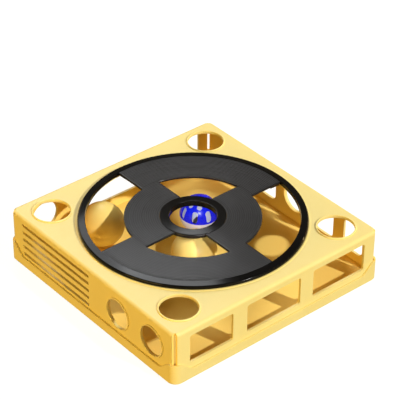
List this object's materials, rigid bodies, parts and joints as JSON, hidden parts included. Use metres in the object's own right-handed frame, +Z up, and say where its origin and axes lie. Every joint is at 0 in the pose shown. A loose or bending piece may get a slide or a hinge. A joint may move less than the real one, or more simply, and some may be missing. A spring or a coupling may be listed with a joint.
{
  "type": "cat maze puzzle toy",
  "caption": "Square ball box for cats: a spinning disc with sector cut-outs in the lid, windowed walls, corner paw holes and loose rolling balls inside.",
  "frame": {"origin": "middle of the underside, on the plane of the anti-slip pads", "axes": "+Z up along the turntable's axis; -Y is the wall with three windows, -X the wall with the louvres"},
  "size_m": [0.2566, 0.2566, 0.0625],
  "materials": {
    "yellow_plastic": "satin moulded",
    "black_gloss": "polished",
    "record_plastic": "satin with fine ring grooves",
    "pad_rubber": "matte",
    "screw_steel": "plated",
    "blue_plastic": "glossy",
    "cream_plastic": "glossy, slightly translucent",
    "bell_metal": "plated"
  },
  "bodies": {
    "base": {"base_tray": "yellow_plastic", "anti_slip_pads": "pad_rubber"},
    "cover": {"top_cover": "yellow_plastic"},
    "turntable": {"turntable_plate": "record_plastic", "turntable_rim": "black_gloss", "turntable_retainers": "black_gloss", "turntable_screws": "screw_steel", "turntable_hub_ring": "black_gloss"},
    "bell_ball_core": {"bell_ball_bell": "bell_metal", "bell_ball_pellet": "screw_steel"},
    "bell_ball": {"bell_ball_upper_shell": "blue_plastic", "bell_ball_lower_shell": "cream_plastic"},
    "left_ball_core": {"left_ball_bell": "bell_metal", "left_ball_pellet": "screw_steel"},
    "left_ball": {"left_ball_upper_shell": "yellow_plastic", "left_ball_lower_shell": "yellow_plastic"},
    "front_ball_core": {"front_ball_bell": "bell_metal", "front_ball_pellet": "screw_steel"},
    "front_ball": {"front_ball_upper_shell": "yellow_plastic", "front_ball_lower_shell": "yellow_plastic"}
  },
  "joints": [
    {"name": "cover_lift", "type": "slide", "parent": "base", "child": "cover", "axis": [0, 0, 1], "range_m": [0, 0.08]},
    {"name": "turntable_spin", "type": "hinge", "parent": "cover", "child": "turntable", "pos_m": [0, 0, 0.06], "axis": [0, 0, 1], "continuous": true},
    {"name": "bell_ball_travel", "type": "slide", "parent": "base", "child": "bell_ball_core", "axis": [1, 0, 0], "range_m": [-0.1418, 0.063]},
    {"name": "bell_ball_roll", "type": "hinge", "parent": "bell_ball_core", "child": "bell_ball", "pos_m": [0.0394, 0.0374, 0.02535], "axis": [0, 1, 0], "range_deg": [-407, 181]},
    {"name": "left_ball_travel", "type": "slide", "parent": "base", "child": "left_ball_core", "axis": [1, 0, 0], "range_m": [-0.0511, 0.1483]},
    {"name": "left_ball_roll", "type": "hinge", "parent": "left_ball_core", "child": "left_ball", "pos_m": [-0.0486, 0.082, 0.02805], "axis": [0, 1, 0], "range_deg": [-130, 375]},
    {"name": "front_ball_travel", "type": "slide", "parent": "base", "child": "front_ball_core", "axis": [1, 0, 0], "range_m": [-0.0918, 0.1076]},
    {"name": "front_ball_roll", "type": "hinge", "parent": "front_ball_core", "child": "front_ball", "pos_m": [-0.0079, -0.0115, 0.02805], "axis": [0, 1, 0], "range_deg": [-232, 272]}
  ],
  "couplings": [
    {"joint": "bell_ball_roll", "follows": "bell_ball_travel", "rad_per_m": 50},
    {"joint": "left_ball_roll", "follows": "left_ball_travel", "rad_per_m": 44.053},
    {"joint": "front_ball_roll", "follows": "front_ball_travel", "rad_per_m": 44.053}
  ]
}
